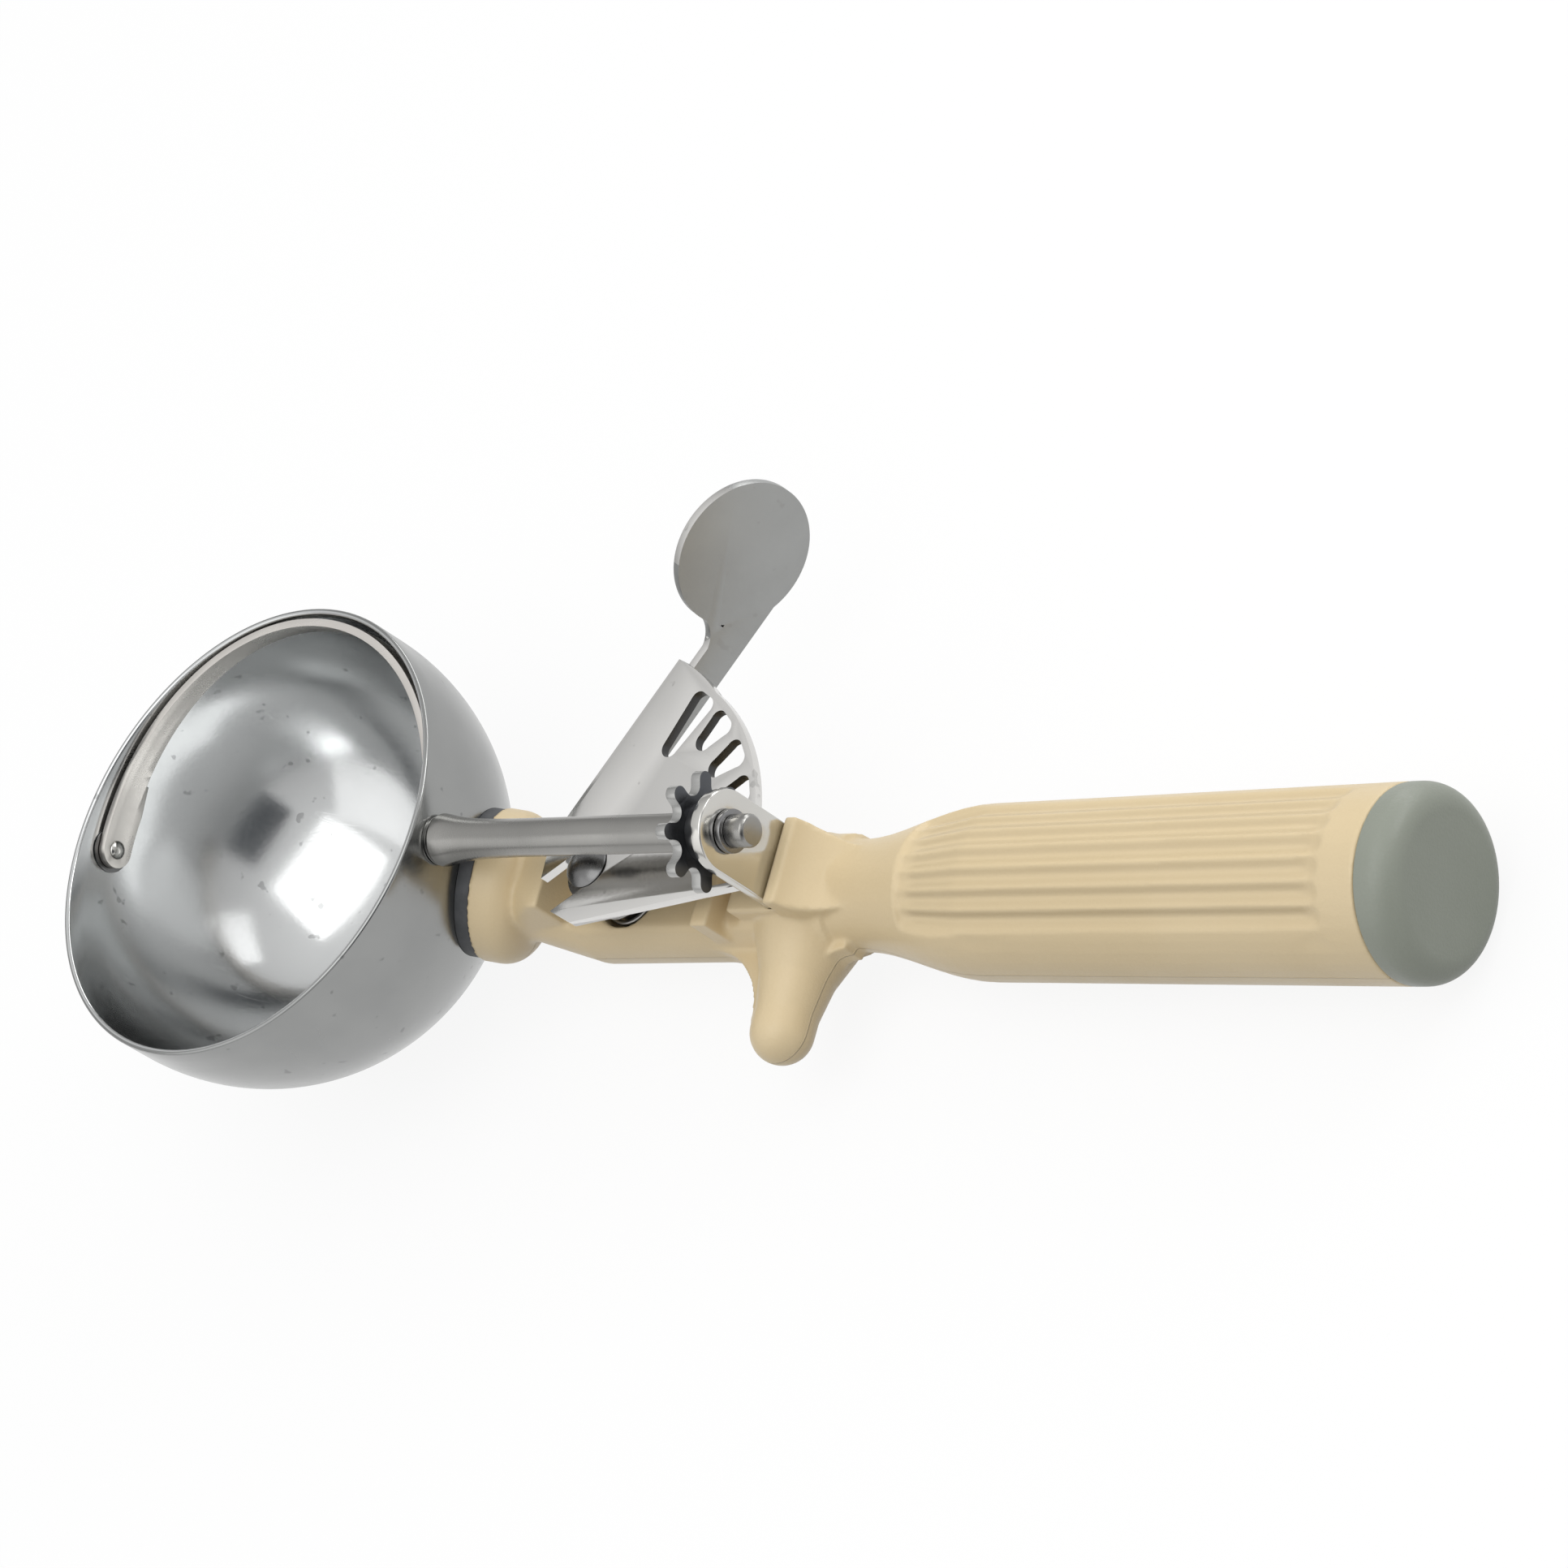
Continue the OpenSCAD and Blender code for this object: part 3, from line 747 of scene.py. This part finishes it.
@dataclass
class ShaftLine:
    """The shaft with its sleeve, pinion, washer, retaining ring and bearing plate."""

    axis_z: float = BOWL_AXIS_Z
    front_x: float = 34.4 * MM
    flare_radius: float = 3.65 * MM
    flare_length: float = 3.6 * MM
    sleeve_radius: float = 2.6 * MM
    rod_radius: float = 2.25 * MM
    pinion_x: float = 81.4 * MM
    fit: float = 0.03 * MM
    flare_step: float = 0.8 * MM
    flare_points: int = 21

    def sleeve(self) -> Piece:
        """Spins the sleeve, which flares towards the bowl.

        Returns:
            The sleeve.
        """
        end = self.pinion_x - self.front_x - self.fit
        bore = self.rod_radius + self.fit
        lip = 0.35 * MM
        flare = self.flare_radius - self.sleeve_radius
        curve = []
        for i in range(self.flare_points):
            back = i * self.flare_step
            radius = self.sleeve_radius + flare * math.exp(-back / self.flare_length)
            curve.append((radius, 2 * lip + back))
        outline = [
            (bore, lip),
            (self.flare_radius - lip, 0.0),
            (self.flare_radius - 0.1 * MM, 0.1 * MM),
            (self.flare_radius, lip),
            *curve[1:],
            (self.sleeve_radius, end - 0.4 * MM),
            (self.sleeve_radius - 0.1 * MM, end - 0.1 * MM),
            (self.sleeve_radius - 0.25 * MM, end),
            (bore, end),
            (bore, lip),
        ]
        return Bench.spun("shaft_sleeve_tube", outline, along_x(self.front_x, 0, self.axis_z), 72)

    def build(
        self,
        turned: Material,
        polished: Material,
        toothed: Material,
        ringed: Material,
        dark: Material,
    ) -> None:
        """Builds the line.

        Args:
            turned: The material of the sleeve and the shaft.
            polished: The bearing plate's material.
            toothed: The pinion's material.
            ringed: The retaining ring's material.
            dark: The washer's material.
        """
        Bench.finish(self.sleeve(), turned, Body.BLADE, ["shaft_sleeve"], "shaft_steel")
        shaft = Bench.eased(Bench.welded("shaft", "shaft_rod"), 0.12 * MM, 2, 40.0)
        Bench.finish(shaft, turned, Body.BLADE, ["shaft"], "shaft_steel")
        pinion = Bench.eased(Bench.welded("pinion", "pinion_star"), 0.16 * MM, 3, 40.0)
        # The face mark carries the pinion's flat faces, whose steel is painted near black, as
        # painted shade, against the lighter tooth sides.
        Bench.mark(pinion, "face", lambda c, n: abs(n.x) > 0.7)
        Bench.finish(pinion, toothed, Body.BLADE, ["pinion"], "pinion_steel")
        plate = Bench.eased(Bench.welded("bearing_plate", "bearing_plate_ear"), 0.3 * MM, 4, 40.0)
        Bench.finish(plate, polished, Body.HANDLE, ["bearing_plate"], "ear_steel")
        ring = Bench.eased(Bench.welded("retaining_ring", "shaft_ring"), 0.12 * MM, 2, 40.0)
        Bench.finish(ring, ringed, Body.BLADE, ["retaining_ring"], "ring_steel")
        Bench.repaint("pinion_washer", dark)
        Bench.repaint("shaft_bush", turned)


@dataclass
class Lever:
    """The thumb lever on its post, with its return spring."""

    pivot: tuple[float, float] = (56.0 * MM, -1.2 * MM)
    wire: float = 0.4 * MM
    coil_radius: float = 4.3 * MM
    coils: float = 4.5
    coil_low: float = -24.7 * MM
    coil_high: float = -15.05 * MM
    leg_turn: float = 61.5
    leg: float = 7.65 * MM
    web_face: float = 7.75 * MM
    slots_from: float = 12.0 * MM
    slots_to: float = 28.4 * MM
    slots_from_turn: float = -12.0
    web_slack: float = 0.2 * MM
    coil_steps: int = 28

    def spring(self) -> Piece:
        """Winds the spring as a tube along a curve.

        Returns:
            The spring.
        """
        first = self.leg_turn - 360.0 * self.coils
        steps = int(self.coils * self.coil_steps)
        route = []
        for i in range(steps + 1):
            share = i / steps
            a = math.radians(first + 360.0 * self.coils * share)
            height = self.coil_low + (self.coil_high - self.coil_low) * share
            x, y = self.coil_radius * math.cos(a), self.coil_radius * math.sin(a)
            route.append(Vector((x, y, height)))
        route.append(route[-1] + self.across() * self.leg)
        curve = bpy.data.curves.new("lever_spring_route", "CURVE")
        curve.dimensions = "3D"
        curve.bevel_depth = self.wire
        curve.bevel_resolution = 3
        curve.use_fill_caps = True
        line = curve.splines.new("POLY")
        line.points.add(len(route) - 1)
        for point, place in zip(line.points, route):
            point.co = (place.x + self.pivot[0], place.y + self.pivot[1], place.z, 1.0)
        spring = bpy.data.objects.new("lever_spring", curve)
        bpy.context.scene.collection.objects.link(spring)
        Bench.hold(spring)
        bpy.ops.object.convert(target="MESH")
        return Bench.smoothed(bpy.context.active_object, 40.0)

    def in_slots(self, place: Vector) -> bool:
        """Says whether a place lies in the fan of slots, between the pivot and the rim."""
        out = Vector((place.x - self.pivot[0], place.y - self.pivot[1]))
        turn = math.degrees(math.atan2(out.y, out.x))
        return self.slots_from < out.length < self.slots_to and turn > self.slots_from_turn

    def across(self) -> Vector:
        """Returns the level direction square to the lever's flange."""
        a = math.radians(self.leg_turn)
        return Vector((-math.sin(a), math.cos(a), 0.0))

    def build(self, plate: Material, dark: Material, wire: Material) -> None:
        """Builds the lever, its post and its spring.

        Args:
            plate: The lever's material.
            dark: The post's material.
            wire: The spring's material.
        """
        lever = Bench.eased(Bench.welded("lever", "thumb_lever"), 0.28 * MM, 3, 35.0)
        across = self.across()
        edge = Vector((*self.pivot, 0.0)).dot(across) + self.web_face - self.web_slack
        # The web mark carries the flange, whose steel is painted darker than the plate, as painted
        # shade.
        Bench.mark(lever, "web", lambda c, n: c.dot(across) > edge and abs(n.z) < 0.8)

        def is_cut(place: Vector, facing: Vector) -> bool:
            """Says whether a face is a wall of a slot."""
            return self.in_slots(place) and place.dot(across) <= edge and abs(facing.z) < 0.5

        # The cut mark carries the slot walls, which are painted near black, as painted shade in the
        # slots.
        Bench.mark(lever, "cut", is_cut)
        Bench.finish(lever, plate, Body.LEVER, ["lever"], "lever_steel")
        post = Bench.eased(Bench.welded("lever_pivot", "lever_post"), 0.2 * MM, 2, 40.0)
        Bench.finish(post, dark, Body.HANDLE, ["lever_pivot"], "washer_steel")
        Bench.finish(self.spring(), wire, Body.LEVER, ["return_spring"], "spring_steel")
        Bench.repaint("lever_washer", dark)


@dataclass
class Handle:
    """The moulded handle with its end cap, and the joint to the bowl."""

    grip_z: float = GRIP_AXIS_Z
    grip_end: float = 183.3 * MM
    end_radius: float = 12.65 * MM
    cap_length: float = 5.5 * MM
    cap_round: float = 3.6 * MM
    spigot_radius: float = 8.5 * MM
    spigot_length: float = 12.0 * MM
    voxel: float = 0.38 * MM
    soften: int = 1

    def grip(self) -> Piece:
        """Softens a copy of the solid, as moulded edges are.

        Returns:
            The handle.
        """
        handle = Bench.welded("handle", "moulded_handle")
        Bench.modified(handle, "REMESH", mode="VOXEL", voxel_size=self.voxel, adaptivity=0.0)
        Bench.modified(handle, "SMOOTH", factor=0.5, iterations=self.soften)
        return Bench.smoothed(handle, 180.0)

    def cap(self) -> Piece:
        """Spins the end cap with its spigot.

        Returns:
            The cap.
        """
        flat = self.cap_length - self.cap_round
        outline = [
            (0.0, -self.spigot_length),
            (self.spigot_radius, -self.spigot_length),
            (self.spigot_radius, 0.05 * MM),
            (self.end_radius - 0.3 * MM, 0.05 * MM),
            (self.end_radius - 0.05 * MM, 0.2 * MM),
            (self.end_radius, 0.5 * MM),
            *arc((self.end_radius - self.cap_round, flat), self.cap_round, 0, 90, 14),
            (self.end_radius * 0.45, self.cap_length),
            (0.0, self.cap_length),
        ]
        return Bench.spun("end_cap_disc", outline, along_x(self.grip_end, 0, self.grip_z), 120)

    def build(
        self, ivory: Material, cap: Material, rubber: Material, brass: Material
    ) -> None:
        """Builds the handle.

        Args:
            ivory: The handle's material.
            cap: The end cap's material.
            rubber: The gasket's material.
            brass: The insert's material.
        """
        Bench.finish(self.grip(), ivory, Body.HANDLE, ["handle"], "ivory")
        Bench.finish(self.cap(), cap, Body.HANDLE, ["end_cap"], "cap_plastic")
        gasket = Bench.eased(Bench.welded("bowl_gasket", "bowl_gasket_ring"), 0.1 * MM, 2, 40.0)
        Bench.finish(gasket, rubber, Body.HANDLE, ["bowl_gasket"], "gasket_rubber")
        Bench.repaint("stud_insert", brass)


# ----------------------------------------------------------------------------------------- studio


@dataclass(frozen=True)
class Softbox:
    """One soft light aimed at the scoop.

    A reflector shows in the steel only, and leaves the diffuse light on the moulding alone.
    """

    name: str
    toward: Point
    distance: float
    width: float
    height: float
    brightness: float
    aim: Point = (0.03, 0.0, -0.015)
    reflector: bool = False

    def hang(self) -> None:
        """Adds the light, whose brightness is what its face shows."""
        lamp = bpy.data.lights.new(self.name, "AREA")
        lamp.shape = "RECTANGLE"
        lamp.size, lamp.size_y = self.width, self.height
        lamp.energy = self.brightness * math.pi * self.width * self.height
        holder = bpy.data.objects.new(self.name, lamp)
        bpy.context.scene.collection.objects.link(holder)
        back = Vector(self.toward).normalized()
        place = Vector(self.aim) + back * self.distance
        facing = back.to_track_quat("Z", "Y").to_matrix().to_4x4()
        holder.matrix_world = Matrix.Translation(place) @ facing
        holder.visible_camera = False
        holder.visible_diffuse = not self.reflector


@dataclass
class Studio:
    """The camera, the floor, the soft lights and the dark card that the bowl reflects."""

    frame_px: float = 1932.0
    focal_px: float = 7975.357
    sensor: float = 36.0
    eye: Point = (0.659077, -0.265159, 0.557701)
    right: Point = (0.741867, 0.257161, -0.619275)
    down: Point = (-0.027714, -0.910989, -0.411499)
    ahead: Point = (-0.669974, 0.322440, -0.668706)
    softboxes: tuple[Softbox, ...] = (
        Softbox("top_softbox", (0.22, -0.13, 0.97), 0.80, 0.74, 0.62, 1.15),
        Softbox("side_softbox", (0.62, 0.57, 0.55), 0.90, 0.44, 0.24, 0.8),
        Softbox("low_softbox", (0.70, 0.63, 0.33), 0.90, 0.34, 0.16, 5.8),
        Softbox("back_softbox", (0.1, 0.985, 0.12), 0.90, 0.90, 0.25, 3.0, (0.1, 0.0, -0.02)),
        Softbox("fill_softbox", (-0.37, -0.74, 0.56), 0.90, 0.95, 0.85, 0.5, reflector=True),
    )
    card_toward: Point = (0.80, -0.40, 0.40)
    card_size: tuple[float, float] = (0.62, 0.50)
    card_distance: float = 1.0
    floor_size: float = 12.0
    floor_gap: float = 0.05 * MM
    floor_base: Colour = (0.36, 0.36, 0.36)
    floor_seen: Colour = (0.95, 0.95, 0.95)
    floor_glow: float = 0.88

    def camera(self) -> None:
        """Places the camera at the photograph's angle."""
        data = bpy.data.cameras.new("studio_camera")
        data.sensor_width = self.sensor
        data.lens = self.focal_px / self.frame_px * self.sensor
        data.clip_start, data.clip_end = 0.05, 20.0
        camera = bpy.data.objects.new("studio_camera", data)
        bpy.context.scene.collection.objects.link(camera)
        axes = Matrix((self.right, [-c for c in self.down], [-c for c in self.ahead])).transposed()
        camera.matrix_world = Matrix.Translation(self.eye) @ axes.to_4x4()
        bpy.context.scene.camera = camera

    def floor(self) -> None:
        """Lays a pale floor under the scoop that keeps its shadow."""
        Bench.clear()
        low = CAD_BOX[0].z
        bpy.ops.mesh.primitive_plane_add(
            size=self.floor_size, location=(0, 0, low - self.floor_gap)
        )
        floor = bpy.context.active_object
        floor.name = "studio_floor"
        board = Board("pale_floor")
        rays = board.node("ShaderNodeLightPath").outputs
        camera, glossy, through = (
            Tone(board, rays[f"Is {kind} Ray"]) for kind in ("Camera", "Glossy", "Transmission")
        )
        seen = camera + glossy + through
        paint = board.blend(camera, self.floor_base, self.floor_seen)
        board.dress(Base_Color=paint, Roughness=0.8)
        white = {"Color": (1.0, 1.0, 1.0, 1.0), "Strength": 1.0}
        glow = board.node("ShaderNodeEmission", None, white)
        pair = {0: seen * self.floor_glow, 1: board.shader.outputs[0], 2: glow.outputs[0]}
        mixed = board.node("ShaderNodeMixShader", None, pair)
        output = next(n for n in board.tree.nodes if n.type == "OUTPUT_MATERIAL")
        board.feed(output, {"Surface": mixed.outputs[0]})
        floor.data.materials.append(board.material)

    def sky(self, low: float = 0.4, high: float = 0.95) -> None:
        """Lights the set softly, brighter overhead, and shows white to the camera.

        Args:
            low: The light's strength at the horizon.
            high: Its strength overhead.
        """
        world = bpy.data.worlds.new("studio_light")
        world.use_nodes = True
        tree = world.node_tree
        base = next(n for n in tree.nodes if n.type == "BACKGROUND")
        base.inputs["Color"].default_value = (1.0, 1.0, 1.0, 1.0)
        place = tree.nodes.new("ShaderNodeTexCoord")
        up = tree.nodes.new("ShaderNodeSeparateXYZ")
        spread = tree.nodes.new("ShaderNodeMapRange")
        for key, value in (("To Min", low), ("To Max", high)):
            spread.inputs[key].default_value = value
        tree.links.new(place.outputs["Generated"], up.inputs[0])
        tree.links.new(up.outputs["Z"], spread.inputs["Value"])
        tree.links.new(spread.outputs[0], base.inputs["Strength"])
        white = tree.nodes.new("ShaderNodeBackground")
        white.inputs["Strength"].default_value = 1.0
        rays = tree.nodes.new("ShaderNodeLightPath")
        mix = tree.nodes.new("ShaderNodeMixShader")
        output = next(n for n in tree.nodes if n.type == "OUTPUT_WORLD")
        tree.links.new(rays.outputs["Is Camera Ray"], mix.inputs[0])
        tree.links.new(base.outputs[0], mix.inputs[1])
        tree.links.new(white.outputs[0], mix.inputs[2])
        tree.links.new(mix.outputs[0], output.inputs["Surface"])
        bpy.context.scene.world = world

    def dark_card(self) -> None:
        """Stands a dark card under the camera's view, which shows only in reflections."""
        Bench.clear()
        back = Vector(self.card_toward).normalized()
        bpy.ops.mesh.primitive_plane_add(size=1.0)
        card = bpy.context.active_object
        card.name = "dark_card"
        facing = back.to_track_quat("Z", "Y").to_matrix().to_4x4()
        place = Matrix.Translation(back * self.card_distance) @ facing
        card.matrix_world = place @ Matrix.Diagonal((*self.card_size, 1.0, 1.0))
        board = Board("dark_card_felt")
        board.dress(Base_Color=(0.13, 0.14, 0.155, 1.0), Roughness=0.9)
        card.data.materials.append(board.material)
        card.visible_camera = card.visible_diffuse = card.visible_shadow = False
        card.visible_transmission = False

    def build(self) -> None:
        """Sets up the studio."""
        bpy.context.scene.view_settings.view_transform = "Standard"
        self.camera()
        self.floor()
        self.sky()
        self.dark_card()
        for box in self.softboxes:
            box.hang()


def build_scoop() -> None:
    """Makes the finishes and builds the sub-assemblies in order."""
    satin = SteelFinish(
        "satin_bowl_steel", (0.34, 0.345, 0.34), (0.27, 0.275, 0.275), 0.22, 0.07, specks=0.4,
        # One pressed steel in a light copy inside and a dark copy outside, as painted light and
        # painted shade; the inside's lower roughness is a finish.
        zones=(Zone("inner", (0.635, 0.645, 0.645), -0.06),),
    ).material()
    strip = SteelFinish(
        "blade_steel", (0.76, 0.73, 0.69), (0.6, 0.57, 0.53), 0.32, grain=Grain.ROLLED
    ).material()
    turned = SteelFinish(
        "turned_steel", (0.33, 0.325, 0.31), (0.25, 0.245, 0.235), 0.27, grain=Grain.TURNED
    ).material()
    plate = SteelFinish(
        "lever_plate_steel", (0.74, 0.73, 0.71), (0.64, 0.63, 0.61), 0.15, 0.08, specks=0.35,
        # The web zone paints the flange of the one stamped sheet darker, as painted shade.
        zones=(Zone("web", (0.37, 0.375, 0.37), 0.27), Zone("cut", (0.07, 0.07, 0.07), 0.25)),
    # The cut zone paints the slot walls near black, as painted shade.
    ).material()
    polished = SteelFinish(
        "polished_steel", (0.64, 0.63, 0.6), (0.55, 0.54, 0.51), 0.16, 0.06
    ).material()
    toothed = SteelFinish(
        "pinion_steel", (0.46, 0.46, 0.45), (0.36, 0.36, 0.35), 0.26,
        # The face zone paints the pinion's flat faces near black, as painted shade.
        zones=(Zone("face", (0.1, 0.105, 0.115), 0.1),),
    ).material()
    dark = SteelFinish("dark_steel", (0.2, 0.2, 0.2), (0.13, 0.13, 0.13), 0.3).material()
    ring = SteelFinish(
        "ring_steel", (0.26, 0.26, 0.265), (0.18, 0.18, 0.18), 0.25, grain=Grain.TURNED
    ).material()
    brass = SteelFinish(
        "insert_brass", (0.78, 0.6, 0.28), (0.6, 0.45, 0.2), 0.3, grain=Grain.TURNED
    ).material()
    ivory = MouldedFinish(
        "ivory_moulding", (0.71, 0.575, 0.36), (0.66, 0.525, 0.315), 0.38,
        seam_z=GRIP_AXIS_Z, flutes=Flutes(GRIP_AXIS_Z),
    ).material()
    cap = MouldedFinish(
        "grey_green_moulding", (0.275, 0.295, 0.25), (0.245, 0.265, 0.22), 0.42
    ).material()
    Bowl().build(satin)
    Sweep().build(strip, polished, dark)
    ShaftLine().build(turned, polished, toothed, ring, dark)
    Lever().build(plate, dark, turned)
    Handle().build(ivory, cap, RubberFinish().material(), brass)
    Bench.repaint("bowl_stud", turned)


def main() -> None:
    """Builds the scoop and its studio."""
    logging.basicConfig(level=logging.INFO, format="%(name)s %(message)s")
    build_scoop()
    Studio().build()


if __name__ == "__main__":
    main()
